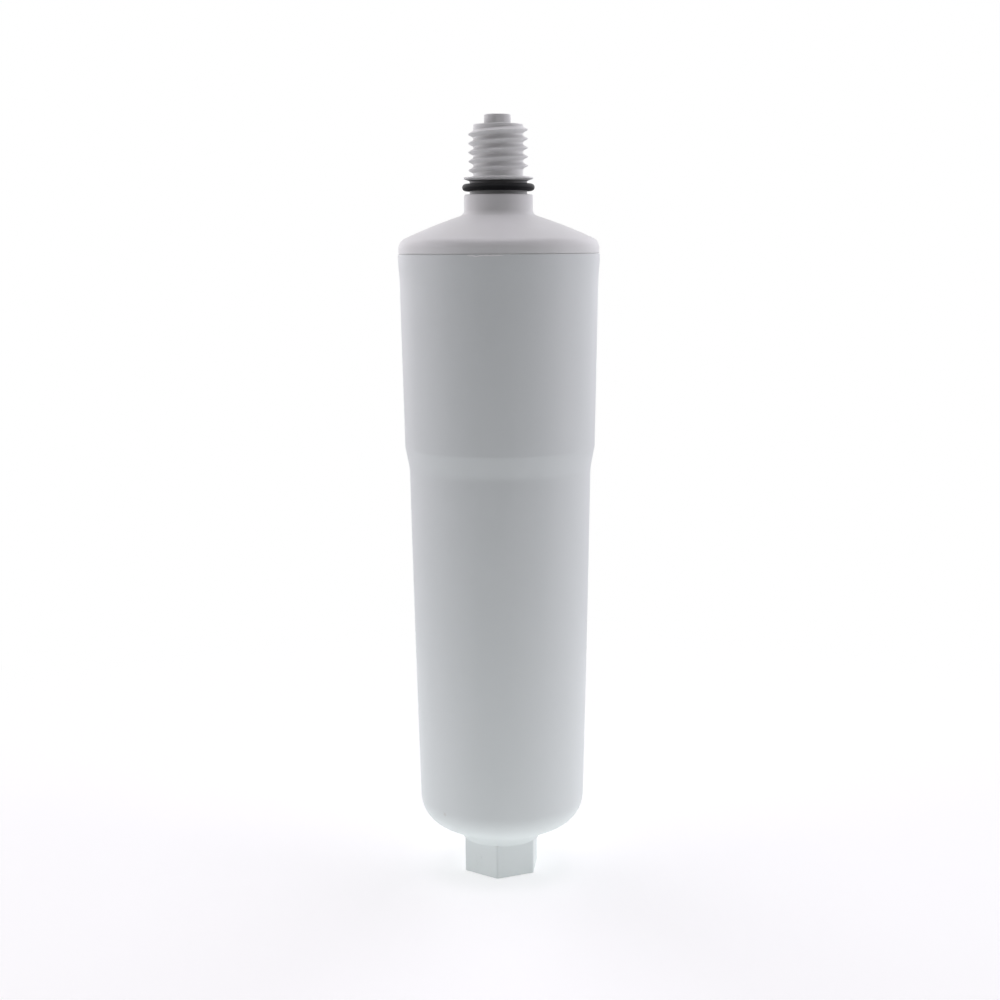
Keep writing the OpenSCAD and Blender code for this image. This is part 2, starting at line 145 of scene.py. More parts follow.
foot = (knuckle_centre[0] + knuckle_radius, knuckle_centre[1])
low_blend = blend(foot, waist_low, waist_high, 14)
high_blend = blend(waist_low, waist_high, under_lip, 5)
flare_rise, flare_height = lip_radius - under_lip[0], lip_foot - under_lip[1]
flare_radius = (flare_height ** 2 + flare_rise ** 2) / 2 / flare_rise
flare_turn = math.degrees(math.asin(flare_height / flare_radius))
crown_drop = crown_centre[1] - boss_foot
boss_cove_radius = (boss_radius ** 2 + crown_drop ** 2 - crown_radius ** 2) / 2 / (
    crown_radius - boss_radius * math.cos(boss_flare) - crown_drop * math.sin(boss_flare))
boss_cove = (boss_radius + boss_cove_radius * math.cos(boss_flare),
             boss_foot - boss_cove_radius * math.sin(boss_flare))
boss_head_turn = math.degrees(math.atan2(crown_centre[1] - boss_cove[1], -boss_cove[0]))
housing_section = (
    [(0, boss_foot), (boss_radius - 0.1, boss_foot)]
    + arc(boss_cove, boss_cove_radius, 150, boss_head_turn, 14)
    + arc(knuckle_centre, knuckle_radius, knuckle_turn, 0, 20)[:-1]
    + bowed(foot, low_blend[0], 0.1, 24)
    + low_blend + high_blend
    + arc((under_lip[0] + flare_radius, under_lip[1]), flare_radius, 180, 180 - flare_turn, 8)
    + arc((lip_radius - lip_edge, weld_height - lip_edge), lip_edge, 0, 90, 3)
    + [(0, weld_height)]
)
housing_shell = turned("housing_shell", housing_section)

hexagon_head, corner_round = boss_foot + 0.1, 0.45
bpy.ops.object.select_all(action="DESELECT")
bpy.ops.mesh.primitive_cylinder_add(
    vertices=6, radius=hexagon_flats / 2 / math.cos(math.pi / 6) * mm,
    depth=hexagon_head * mm, location=(0, 0, hexagon_head / 2 * mm),
    rotation=(0, 0, math.radians(hexagon_turn - 30)))
bpy.ops.object.transform_apply(location=True, rotation=True, scale=True)
hexagon = bpy.context.object
bpy.ops.object.mode_set(mode="EDIT")
bpy.ops.mesh.select_mode(type="EDGE")
bpy.ops.mesh.select_all(action="DESELECT")
bpy.ops.object.mode_set(mode="OBJECT")
for side in hexagon.data.edges:
    lower, upper = (hexagon.data.vertices[i].co.z for i in side.vertices)
    side.select = abs(upper - lower) > mm
bpy.ops.object.mode_set(mode="EDIT")
bpy.ops.mesh.bevel(offset=corner_round * mm, segments=5)
bpy.ops.mesh.select_mode(type="VERT")
bpy.ops.object.mode_set(mode="OBJECT")
apply_modifier(hexagon, "BEVEL", width=0.06 * mm, segments=2, limit_method="ANGLE",
               angle_limit=math.radians(40))
combine(housing_shell, hexagon, "UNION")

core_radius, core_floor = 6.25, 3.0
counterbore_radius, counterbore_foot = 24.575, 164.664
cavity_section = (
    [(0, core_floor), (core_radius, core_floor)]
    + arc(crown_centre, crown_radius - wall, -83.77, knuckle_turn, 6)
    + arc(knuckle_centre, knuckle_radius - wall, knuckle_turn, 0, 10)[1:]
    + [(waist_low[0] - wall, waist_low[1]), (waist_high[0] - wall, waist_high[1]),
       (under_lip[0] - wall, under_lip[1]), (under_lip[0] - wall, counterbore_foot),
       (counterbore_radius, counterbore_foot), (counterbore_radius, weld_height + 1),
       (0, weld_height + 1)]
)
cavity = turned("cavity", cavity_section)
seat_height, seat_rib = 20.764, 1.8
for i in range(6):
    bpy.ops.object.select_all(action="DESELECT")
    bpy.ops.mesh.primitive_cube_add(size=1)
    rib = bpy.context.object
    rib.data.transform(Matrix.Rotation(math.radians(60 * i), 4, "Z") @ Matrix.LocRotScale(
        Vector(((core_radius + foot[0]) / 2, 0, (hexagon_height + seat_height) / 2)) * mm, None,
        Vector((foot[0] - core_radius + 0.1, seat_rib, seat_height - hexagon_height)) * mm))
    combine(cavity, rib, "DIFFERENCE")
combine(housing_shell, cavity, "DIFFERENCE")

# The gate of the mould leaves a ring-shaped recess with a stub in it, under the hexagon.
gate_section = [(0, -1), (2.5, -1), (2.5, 0.5), (2.4, 0.6), (0.9, 0.6), (0.8, 0.5), (0.8, 0.3), (0, 0.3)]
gate = turned("gate", gate_section, steps=64)
combine(housing_shell, gate, "DIFFERENCE")

# An ejector pin left a shallow round mark on one face of the hexagon, with a small pit in it.
face_turn = math.radians(hexagon_turn + 210)
outward = Vector((math.cos(face_turn), math.sin(face_turn), 0))
across = Vector((-math.sin(face_turn), math.cos(face_turn), 0))
for aside, height, radius, depth in ((-0.11, 3.95, 1.6, 0.07), (0.25, 5.19, 0.5, 0.22)):
    bpy.ops.object.select_all(action="DESELECT")
    bpy.ops.mesh.primitive_cylinder_add(
        vertices=48, radius=radius * mm, depth=2 * depth * mm, rotation=(0, math.pi / 2, face_turn),
        location=(outward * hexagon_flats / 2 + across * aside + Vector((0, 0, height))) * mm)
    bpy.ops.object.transform_apply(location=True, rotation=True, scale=True)
    combine(housing_shell, bpy.context.object, "DIFFERENCE")


def new_material(name):
    """A node material with its node tree, and its own Principled shader."""
    material = bpy.data.materials.new(name)
    material.use_nodes = True
    return material, material.node_tree, material.node_tree.nodes["Principled BSDF"]


def new_group(name, inputs, outputs):
    """A shader node group with named sockets. inputs holds (name, socket type, value)."""
    group = bpy.data.node_groups.new(name, "ShaderNodeTree")
    for label, kind, value in inputs:
        group.interface.new_socket(label, in_out="INPUT", socket_type=kind).default_value = value
    for label, kind in outputs:
        group.interface.new_socket(label, in_out="OUTPUT", socket_type=kind)
    return group, group.nodes.new("NodeGroupInput"), group.nodes.new("NodeGroupOutput")


def find_socket(sockets, key):
    """The socket in use with that name or number."""
    return sockets[key] if isinstance(key, int) else next(
        socket for socket in sockets if socket.name == key and socket.enabled)


def add_node(tree, kind, sockets=(), **settings):
    """A node of that kind with these settings, and with these values on its inputs."""
    node = tree.nodes.new("ShaderNode" + kind)
    for key, value in settings.items():
        setattr(node, key, value)
    for key, value in dict(sockets).items():
        find_socket(node.inputs, key).default_value = value
    return node


def wire(tree, *links):
    """Links (node, output, node, input) for each of these."""
    for source, output, target, inlet in links:
        tree.links.new(find_socket(source.outputs, output), find_socket(target.inputs, inlet))


def place_group(tree, group, **values):
    """A group placed in a material, with its own input values."""
    node = add_node(tree, "Group", node_tree=group)
    for label, value in values.items():
        node.inputs[label.replace("_", " ")].default_value = value
    return node


# Moulded skin: flow marks drawn along the axis, a fine eroded grain from the mould and a soft
# orange peel. Height is in millimetres.
moulded_skin, skin_in, skin_out = new_group(
    "moulded_skin",
    [("Colour", "NodeSocketColor", (0.8, 0.8, 0.8, 1)), ("Shade", "NodeSocketColor", (0.7, 0.7, 0.7, 1)),
     ("Flow Size", "NodeSocketFloat", 0.02), ("Grain Size", "NodeSocketFloat", 0.0003),
     ("Roughness", "NodeSocketFloat", 0.45)],
    [("Colour", "NodeSocketColor"), ("Roughness", "NodeSocketFloat"), ("Height", "NodeSocketFloat")])
tree = moulded_skin
place = add_node(tree, "TexCoord")
stretch = add_node(tree, "Mapping", sockets={"Scale": (1, 1, 0.25)})
flow_scale = add_node(tree, "Math", operation="DIVIDE", sockets={0: 1.0})
flow = add_node(tree, "TexNoise", sockets={"Detail": 3.0, "Roughness": 0.55})
flow_mask = add_node(tree, "MapRange", sockets={"From Min": 0.35, "From Max": 0.65})
tint = add_node(tree, "Mix", data_type="RGBA")
grain_scale = add_node(tree, "Math", operation="DIVIDE", sockets={0: 1.0})
grain = add_node(tree, "TexNoise", sockets={"Detail": 2.0})
peel = add_node(tree, "TexNoise", sockets={"Scale": 420.0, "Detail": 1.0})
grain_height = add_node(tree, "Math", operation="MULTIPLY", sockets={1: 0.012})
height = add_node(tree, "Math", operation="MULTIPLY_ADD", sockets={1: 0.010})
rough = add_node(tree, "Math", operation="MULTIPLY_ADD", sockets={1: 0.10})
wire(tree, (place, "Object", stretch, "Vector"), (stretch, "Vector", flow, "Vector"),
     (skin_in, "Flow Size", flow_scale, 1), (flow_scale, 0, flow, "Scale"),
     (flow, "Fac", flow_mask, "Value"), (flow_mask, "Result", tint, "Factor"),
     (skin_in, "Shade", tint, "A"), (skin_in, "Colour", tint, "B"), (tint, "Result", skin_out, "Colour"),
     (place, "Object", grain, "Vector"), (skin_in, "Grain Size", grain_scale, 1),
     (grain_scale, 0, grain, "Scale"), (place, "Object", peel, "Vector"), (grain, "Fac", grain_height, 0),
     (peel, "Fac", height, 0), (grain_height, 0, height, 2), (height, 0, skin_out, "Height"),
     (grain, "Fac", rough, 0), (skin_in, "Roughness", rough, 2), (rough, 0, skin_out, "Roughness"))

# Edge wear: the share of a point that lies on a corner, from the way a rounded normal turns there.
edge_wear, wear_in, wear_out = new_group(
    "edge_wear", [("Width", "NodeSocketFloat", 0.0003)], [("Mask", "NodeSocketFloat")])
tree = edge_wear
rounded = add_node(tree, "Bevel", samples=4)
true_normal = add_node(tree, "NewGeometry")
agree = add_node(tree, "VectorMath", operation="DOT_PRODUCT")
wear_mask = add_node(tree, "MapRange", sockets={"From Min": 0.995, "From Max": 0.80})
wire(tree, (wear_in, "Width", rounded, "Radius"), (rounded, "Normal", agree, 0),
     (true_normal, "Normal", agree, 1), (agree, "Value", wear_mask, "Value"),
     (wear_mask, "Result", wear_out, "Mask"))


def skinned(name, colour, shade, flow_size, grain_size, roughness, edge_width, edge_colour):
    """A plastic with moulded skin and lighter edges, with its tree, its shader and its last colour."""
    material, tree, shader = new_material(name)
    skin = place_group(tree, moulded_skin, Colour=colour, Shade=shade, Flow_Size=flow_size,
                       Grain_Size=grain_size, Roughness=roughness)
    wear = place_group(tree, edge_wear, Width=edge_width)
    worn_share = add_node(tree, "Math", operation="MULTIPLY", sockets={1: 0.5})
    worn = add_node(tree, "Mix", data_type="RGBA", sockets={"B": edge_colour})
    bump = add_node(tree, "Bump", sockets={"Distance": mm})
    wire(tree, (skin, "Colour", worn, "A"), (wear, "Mask", worn_share, 0),
         (worn_share, 0, worn, "Factor"), (worn, "Result", shader, "Base Color"),
         (skin, "Roughness", shader, "Roughness"), (skin, "Height", bump, "Height"),
         (bump, "Normal", shader, "Normal"))
    return material, tree, shader, worn


housing_plastic, tree, shader, worn = skinned(
    "housing_plastic", (0.80, 0.83, 0.825, 1), (0.77, 0.805, 0.80, 1), 0.03, 0.0003, 0.42, 0.35 * mm,
    (0.88, 0.89, 0.885, 1))

# A small brown speck in the plastic, low on the dome.
speck_centre, speck_core, speck_halo = (-15.47 * mm, -16.25 * mm, 20.5 * mm), 0.1 * mm, 0.75 * mm
speck_place = add_node(tree, "TexCoord")
speck_distance = add_node(tree, "VectorMath", operation="DISTANCE")
speck_distance.inputs[1].default_value = speck_centre
speck_mask = add_node(tree, "MapRange", interpolation_type="SMOOTHSTEP",
                      sockets={"From Min": speck_halo, "From Max": speck_core, "To Max": 0.22})
speckled = add_node(tree, "Mix", data_type="RGBA", sockets={"B": (0.45, 0.37, 0.29, 1)})
wire(tree, (speck_place, "Object", speck_distance, 0), (speck_distance, "Value", speck_mask, "Value"),
     (speck_mask, "Result", speckled, "Factor"), (worn, "Result", speckled, "A"),
     (speckled, "Result", shader, "Base Color"))
housing_shell.data.materials.append(housing_plastic)

# A sliver of weld flash clings to the lip in front; its near-white colour is a painted highlight, the
# light line that the lip catches there. It sags near its left end.
flash_turns, flash_height = (-107.3, -87.3), 169.2
flash_sag, flash_sag_turn, flash_sag_spread = 0.25, -102.3, 1.2
flash_reach, flash_depth, flash_rise = lip_radius + 0.045, 0.1, 0.2
flash_section = [(flash_reach - flash_depth + flash_depth * math.cos(math.radians(36 * i)),
                  flash_height + flash_rise * math.sin(math.radians(36 * i))) for i in range(10)]
flash = turned("flash", flash_section, steps=40, sweep=flash_turns[1] - flash_turns[0])
flash.data.transform(Matrix.Rotation(math.radians(flash_turns[0]), 4, "Z"))
for vertex in flash.data.vertices:
    turn = math.degrees(math.atan2(vertex.co.y, vertex.co.x))
    share = min(1, (turn - flash_turns[0]) / 2, (flash_turns[1] - turn) / 4)
    sag = flash_sag * math.exp(-((turn - flash_sag_turn) / flash_sag_spread) ** 2)
    thick = math.sqrt(max(share, 0.02)) * (1 - 0.15 * math.sin(1.9 * turn))
    vertex.co.z = (flash_height - sag) * mm + (vertex.co.z - flash_height * mm) * thick
# Near-white colour of the flash: painted highlight along the lip.
flash_painted_highlight = skinned("flash_painted_highlight", (0.97, 0.97, 0.965, 1), (0.94, 0.94, 0.935, 1), 0.004, 0.0002,
                        0.5, 0.1 * mm, (0.98, 0.98, 0.98, 1))[0]
flash.data.materials.append(flash_painted_highlight)
apply_modifier(housing_shell, "BOOLEAN", operation="UNION", solver="EXACT", object=flash,
               material_mode="TRANSFER")
bpy.data.objects.remove(flash)

# The end of the mould with the boss and the hexagon sits a little to the left of the axis.
moved_aside(housing_shell, -0.3, 17.0, 9.5)
smooth(housing_shell)
apply_modifier(housing_shell, "WEIGHTED_NORMAL", keep_sharp=True)
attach(housing_shell, "root")
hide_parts("housing")


# Filter element: an extruded tube of activated carbon in a sintered binder, in a sleeve of
# melt-blown fleece that a plastic net holds, and with a porous liner in its bore. Glued together
# with the end caps before the shell is closed over it.
carbon, tree, shader = new_material("carbon")
place = add_node(tree, "TexCoord")
lumps = add_node(tree, "TexVoronoi", sockets={"Scale": 2500.0})
dust = add_node(tree, "TexNoise", sockets={"Scale": 300.0, "Detail": 4.0})
lump_colour = add_node(tree, "Mix", data_type="RGBA", sockets={"A": (0.010, 0.010, 0.011, 1),
                                                               "B": (0.028, 0.027, 0.026, 1)})
crumbled = add_node(tree, "Mix", data_type="RGBA", sockets={"B": (0.05, 0.05, 0.05, 1)})
wear = place_group(tree, edge_wear, Width=0.6 * mm)
rough = add_node(tree, "MapRange", sockets={"To Min": 0.75, "To Max": 0.95})
bump = add_node(tree, "Bump", sockets={"Distance": 0.12 * mm})
wire(tree, (place, "Object", lumps, "Vector"), (place, "Object", dust, "Vector"),
     (dust, "Fac", lump_colour, "Factor"), (lump_colour, "Result", crumbled, "A"),
     (wear, "Mask", crumbled, "Factor"), (crumbled, "Result", shader, "Base Color"),
     (dust, "Fac", rough, "Value"), (rough, "Result", shader, "Roughness"),
     (lumps, "Distance", bump, "Height"), (bump, "Normal", shader, "Normal"))

fleece, tree, shader = new_material("fleece")
place = add_node(tree, "TexCoord")
stretch = add_node(tree, "Mapping", sockets={"Scale": (1, 1, 0.3)})
fibres = add_node(tree, "TexNoise", sockets={"Scale": 4000.0, "Detail": 6.0, "Distortion": 1.5})
cloud = add_node(tree, "TexNoise", sockets={"Scale": 150.0, "Detail": 3.0})
cloud_colour = add_node(tree, "Mix", data_type="RGBA", sockets={"A": (0.66, 0.66, 0.64, 1),
                                                                "B": (0.80, 0.80, 0.78, 1)})
frayed = add_node(tree, "Mix", data_type="RGBA", sockets={"B": (0.84, 0.84, 0.83, 1)})
wear = place_group(tree, edge_wear, Width=0.5 * mm)
rough = add_node(tree, "MapRange", sockets={"To Min": 0.85, "To Max": 1.0})
bump = add_node(tree, "Bump", sockets={"Distance": 0.1 * mm})
wire(tree, (place, "Object", stretch, "Vector"), (stretch, "Vector", fibres, "Vector"),
     (place, "Object", cloud, "Vector"), (cloud, "Fac", cloud_colour, "Factor"),
     (cloud_colour, "Result", frayed, "A"), (wear, "Mask", frayed, "Factor"),
     (frayed, "Result", shader, "Base Color"), (fibres, "Fac", rough, "Value"),
     (rough, "Result", shader, "Roughness"), (fibres, "Fac", bump, "Height"),
     (bump, "Normal", shader, "Normal"))

net_plastic = skinned("net_plastic", (0.72, 0.78, 0.82, 1), (0.66, 0.73, 0.78, 1), 0.008, 0.0002, 0.32,
                      0.2 * mm, (0.82, 0.86, 0.89, 1))[0]
liner_plastic = skinned("liner_plastic", (0.80, 0.80, 0.80, 1), (0.73, 0.73, 0.72, 1), 0.003, 0.0004,
                        0.75, 0.3 * mm, (0.86, 0.86, 0.86, 1))[0]


def dress(node, material):
    """Gives a piece of the CAD model that material."""
    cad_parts[node].data.materials.clear()
    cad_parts[node].data.materials.append(material)


dress("carbon_block", carbon)
dress("prefilter_wrap", fleece)
dress("outer_net", net_plastic)
dress("core_liner", liner_plastic)


# End caps: two discs with rims, injection moulded in natural polypropylene, on the ends of the
# element. Each is bonded with a layer of amber hot-melt glue that was cast into its rim.
end_cap_plastic = skinned("end_cap_plastic", (0.64, 0.70, 0.73, 1), (0.58, 0.64, 0.68, 1), 0.01, 0.0003,
                          0.36, 0.3 * mm, (0.76, 0.80, 0.82, 1))[0]
hot_melt, tree, shader = new_material("hot_melt")
place = add_node(tree, "TexCoord")
swirl = add_node(tree, "TexNoise", sockets={"Scale": 220.0, "Detail": 3.0, "Distortion": 2.0})
swirl_colour = add_node(tree, "Mix", data_type="RGBA", sockets={"A": (0.55, 0.42, 0.16, 1),
                                                                "B": (0.68, 0.57, 0.28, 1)})
thin_edge = add_node(tree, "Mix", data_type="RGBA", sockets={"B": (0.78, 0.70, 0.45, 1)})
wear = place_group(tree, edge_wear, Width=0.3 * mm)
rough = add_node(tree, "MapRange", sockets={"To Min": 0.18, "To Max": 0.34})
ripple = add_node(tree, "TexNoise", sockets={"Scale": 600.0, "Detail": 1.0})
bump = add_node(tree, "Bump", sockets={"Distance": 0.06 * mm})
wire(tree, (place, "Object", swirl, "Vector"), (place, "Object", ripple, "Vector"),
     (swirl, "Fac", swirl_colour, "Factor"), (swirl_colour, "Result", thin_edge, "A"),
     (wear, "Mask", thin_edge, "Factor"), (thin_edge, "Result", shader, "Base Color"),
     (swirl, "Fac", rough, "Value"), (rough, "Result", shader, "Roughness"),
     (ripple, "Fac", bump, "Height"), (bump, "Normal", shader, "Normal"))
dress("upper_end_cap", end_cap_plastic)
dress("lower_end_cap", end_cap_plastic)
dress("upper_bond", hot_melt)
dress("lower_bond", hot_melt)


# Spigot seal: a small O-ring in black nitrile rubber, rolled into the groove of the upper end
# cap's spigot. It seals the element against the cap's socket.
seal_rubber, tree, shader = new_material("seal_rubber")
shader.inputs["Specular IOR Level"].default_value = 0.12
place = add_node(tree, "TexCoord")
bloom = add_node(tree, "TexNoise", sockets={"Scale": 260.0, "Detail": 4.0})
bloom_colour = add_node(tree, "ValToRGB")
bloom_colour.color_ramp.elements[0].position, bloom_colour.color_ramp.elements[1].position = 0.35, 0.75
bloom_colour.color_ramp.elements[0].color = (0.0035, 0.0035, 0.0045, 1)
bloom_colour.color_ramp.elements[1].color = (0.0090, 0.0090, 0.0100, 1)
bloom_rough = add_node(tree, "MapRange", sockets={"To Min": 0.40, "To Max": 0.58})
pore = add_node(tree, "TexNoise", sockets={"Scale": 3500.0, "Detail": 2.0})
rubbed = add_node(tree, "Mix", data_type="RGBA", sockets={"B": (0.02, 0.02, 0.02, 1)})
wear = place_group(tree, edge_wear, Width=0.1 * mm)
bump = add_node(tree, "Bump", sockets={"Distance": 0.015 * mm})
wire(tree, (place, "Object", bloom, "Vector"), (place, "Object", pore, "Vector"),
     (bloom, "Fac", bloom_colour, "Fac"), (bloom_colour, "Color", rubbed, "A"),
     (wear, "Mask", rubbed, "Factor"), (rubbed, "Result", shader, "Base Color"),
     (bloom, "Fac", bloom_rough, "Value"), (bloom_rough, "Result", shader, "Roughness"),
     (pore, "Fac", bump, "Height"), (bump, "Normal", shader, "Normal"))
dress("spigot_o_ring", seal_rubber)


# Cap: the second moulding of the shell, in the same polypropylene. A crowned shoulder, a collar
# with a groove for the seal, a flange, a threaded post and a nipple in one piece. The outlet tube
# hangs inside with the socket that the filter element plugs into.
rim_radius, rim_height = 26.55, 170.864
corner_radius = 3.0
shoulder_centre, shoulder_radius = (-30.122, 55.763), 130.0
collar_cove, collar_cove_radius = (10.775, 180.952), 1.7
collar_radius = 9.075
groove_radius, groove_foot, groove_head = 7.575, 184.852, 188.602
flange_radius, flange_foot, flange_head = 9.15, 188.902, 189.302
post_radius, post_foot, post_head = 6.55, 189.602, 202.902
nipple_radius, nipple_head = 3.5, 205.452
outlet_radius, socket_radius, socket_wall_radius = 2.1, 6.0, 7.8
socket_mouth, socket_head, socket_cone = 160.464, 172.464, 176.764
neck_bore, web_foot = 5.2, 201.102
skirt_radius, skirt_inner, skirt_foot = 24.425, 22.625, 164.964
shoulder_drop = 2.869
cove_turn = math.degrees(math.atan2(collar_cove[1] - shoulder_centre[1],
                                    collar_cove[0] - shoulder_centre[0]))
room_in, room_out = 6.475, skirt_inner


def shoulder_angle(radius):
    """Angle on the shoulder's arc at that radius from the axis."""
    return math.degrees(math.acos((radius - shoulder_centre[0]) / shoulder_radius))


under_centre = (shoulder_centre[0], shoulder_centre[1] - shoulder_drop)
cap_section = (
    [(skirt_radius, skirt_foot), (skirt_radius, weld_height), (rim_radius - 0.4, weld_height),
     (rim_radius - 0.4, weld_height + 0.1), (rim_radius - 0.08, weld_height + 0.1),
     (rim_radius, weld_height + 0.18)]
    + arc((rim_radius - corner_radius, rim_height), corner_radius, 0, 65, 14)
    + arc(shoulder_centre, shoulder_radius, 65, cove_turn, 20)[1:]
    + arc(collar_cove, collar_cove_radius, cove_turn + 180, 180, 12)[1:]
    + arc((collar_radius - 0.3, groove_foot - 0.3), 0.3, 0, 90, 4)
    + [(groove_radius + 0.2, groove_foot)]
    + arc((groove_radius + 0.2, groove_foot + 0.2), 0.2, -90, -180, 3)[1:]
    + arc((groove_radius + 0.15, groove_head - 0.35), 0.15, 180, 110, 3)
    + [(flange_radius - 0.1, flange_foot - 0.02), (flange_radius, flange_foot + 0.08),
       (flange_radius, flange_head - 0.1), (flange_radius - 0.1, flange_head + 0.01)]
    + [(post_radius + 0.25, post_foot - 0.03), (post_radius + 0.06, post_foot + 0.06),
       (post_radius, post_foot + 0.25)]
    + arc((post_radius - 0.25, post_head - 0.25), 0.25, 0, 90, 4)
    + [(nipple_radius + 0.35, post_head)]
    + arc((nipple_radius + 0.35, post_head + 0.35), 0.35, -90, -180, 4)[1:]
    + arc((nipple_radius - 0.25, nipple_head - 0.25), 0.25, 0, 90, 4)
    + arc((outlet_radius + 0.2, nipple_head - 0.2), 0.2, 90, 180, 3)
    + [(outlet_radius, socket_head), (socket_radius, socket_head),
       (socket_radius, socket_mouth + 0.6), (socket_radius + 0.4, socket_mouth),
       (socket_wall_radius - 0.2, socket_mouth), (socket_wall_radius, socket_mouth + 0.2),
       (socket_wall_radius, socket_head), (nipple_radius, socket_cone), (nipple_radius, web_foot),
       (neck_bore, web_foot), (neck_bore, groove_foot), (room_in, groove_foot - 2.6)]
    + arc(under_centre, shoulder_radius, shoulder_angle(room_in), shoulder_angle(room_out), 14)
    + [(skirt_inner, skirt_foot + 0.2), (skirt_inner + 0.2, skirt_foot)]
)
cap_moulding = turned("cap_moulding", cap_section)

# Six ribs tie the socket to the underside of the shoulder.
rib_outline = [(6.05, weld_height), (23.0, weld_height), (23.0, 172.9), (9.0, 178.2), (6.6, 179.0),
               (6.05, 179.0)]
rib_width = 1.6
for i in range(6):
    rib = outlined("rib", rib_outline, -rib_width / 2)
    bpy.ops.object.mode_set(mode="EDIT")
    bpy.ops.mesh.select_all(action="SELECT")
    bpy.ops.mesh.edge_face_add()
    bpy.ops.mesh.extrude_region_move(TRANSFORM_OT_translate={"value": (0, rib_width * mm, 0)})
    bpy.ops.mesh.select_all(action="SELECT")
    bpy.ops.mesh.normals_make_consistent(inside=False)
    bpy.ops.object.mode_set(mode="OBJECT")
    rib.data.transform(Matrix.Rotation(math.radians(60 * i + 30), 4, "Z"))
    combine(cap_moulding, rib, "UNION")

# The thread: one ridge on a helix, with a small round crest and a foot that runs out on the post.
# Its ends sink into the post over a hundred degrees each.
thread_pitch, thread_turns, thread_lift, crest_radius = 2.309, 4.5, 1.55, 7.825
run_out, step_turn = 100.0, 5.0
first_turn, last_turn = 180 - run_out, 180 + 360 * thread_turns + run_out
thread_steps = round((last_turn - first_turn) / step_turn)
sunk = post_radius - 0.25
flank = [(sunk, 1.02), (post_radius + 0.03, 0.86), (post_radius + 0.22, 0.66),
         (crest_radius - 0.07, 0.13), (crest_radius - 0.015, 0.075), (crest_radius, 0.025)]
ridge_section = [(r, -z) for r, z in flank] + [(r, z) for r, z in reversed(flank)]


def ridge_height(turn):
    """Height of the crest at an angle in degrees round the post."""
    return post_foot + thread_lift + thread_pitch * (turn - 180) / 360


ridge = outlined("ridge", [(r, z + ridge_height(first_turn)) for r, z in ridge_section])
ridge.data.transform(Matrix.Rotation(math.radians(first_turn), 4, "Z"))
apply_modifier(ridge, "SCREW", axis="Z", angle=math.radians(last_turn - first_turn),
               screw_offset=thread_pitch * (last_turn - first_turn) / 360 * mm,
               steps=thread_steps, render_steps=thread_steps, use_smooth_shade=True)
for step in range(thread_steps + 1):
    turn = first_turn + step * step_turn
    share = min(1, (turn - first_turn) / run_out, (last_turn - turn) / run_out)
    if share == 1:
        continue
    share = 0.05 + 0.95 * math.sin(share * math.pi / 2)
    root = (sunk * math.cos(math.radians(turn)) * mm, sunk * math.sin(math.radians(turn)) * mm,
            ridge_height(turn) * mm)
    bpy.ops.object.mode_set(mode="EDIT")
    bpy.ops.mesh.select_all(action="DESELECT")
    bpy.ops.object.mode_set(mode="OBJECT")
    for i in range(len(ridge_section)):
        ridge.data.vertices[step * len(ridge_section) + i].select = True
    bpy.ops.object.mode_set(mode="EDIT")
    bpy.ops.transform.resize(value=(share, share, share), center_override=root)
    if step in (0, thread_steps):
        bpy.ops.mesh.edge_face_add()
    bpy.ops.object.mode_set(mode="OBJECT")
bpy.ops.object.mode_set(mode="EDIT")
bpy.ops.mesh.select_all(action="SELECT")
bpy.ops.mesh.normals_make_consistent(inside=False)
bpy.ops.object.mode_set(mode="OBJECT")
combine(cap_moulding, ridge, "UNION")

# Four kidney-shaped ports through the web between post and nipple, for the water that comes in.
port_section = [(nipple_radius + 0.3, web_foot - 0.4), (neck_bore, web_foot - 0.4),
                (neck_bore, post_head + 0.4), (nipple_radius + 0.3, post_head + 0.4)]
port_sweep = 68.0
for i in range(4):
    port = turned("port", port_section, steps=20, sweep=port_sweep)
    port.data.transform(Matrix.Rotation(math.radians(90 * i + 45 - port_sweep / 2), 4, "Z"))
    combine(cap_moulding, port, "DIFFERENCE")

# The nipple leans a little to the left.
moved_aside(cap_moulding, -0.18, post_head + 0.05, post_head + 0.4)
smooth(cap_moulding)

cap_plastic, tree, shader, worn = skinned(
    "cap_plastic", (0.81, 0.815, 0.81, 1), (0.78, 0.785, 0.775, 1), 0.012, 0.00025, 0.40, 0.30 * mm,
    (0.88, 0.88, 0.87, 1))

# Painted shade: the floor of the seal's groove is darkened, most of it over the ring, where the flange and
# the black ring shade the narrow slot.
groove_shade_place = add_node(tree, "TexCoord")
groove_shade_axes = add_node(tree, "SeparateXYZ")
groove_shade_level = add_node(tree, "VectorMath", operation="MULTIPLY")
groove_shade_level.inputs[1].default_value = (1, 1, 0)
groove_shade_reach = add_node(tree, "VectorMath", operation="LENGTH")
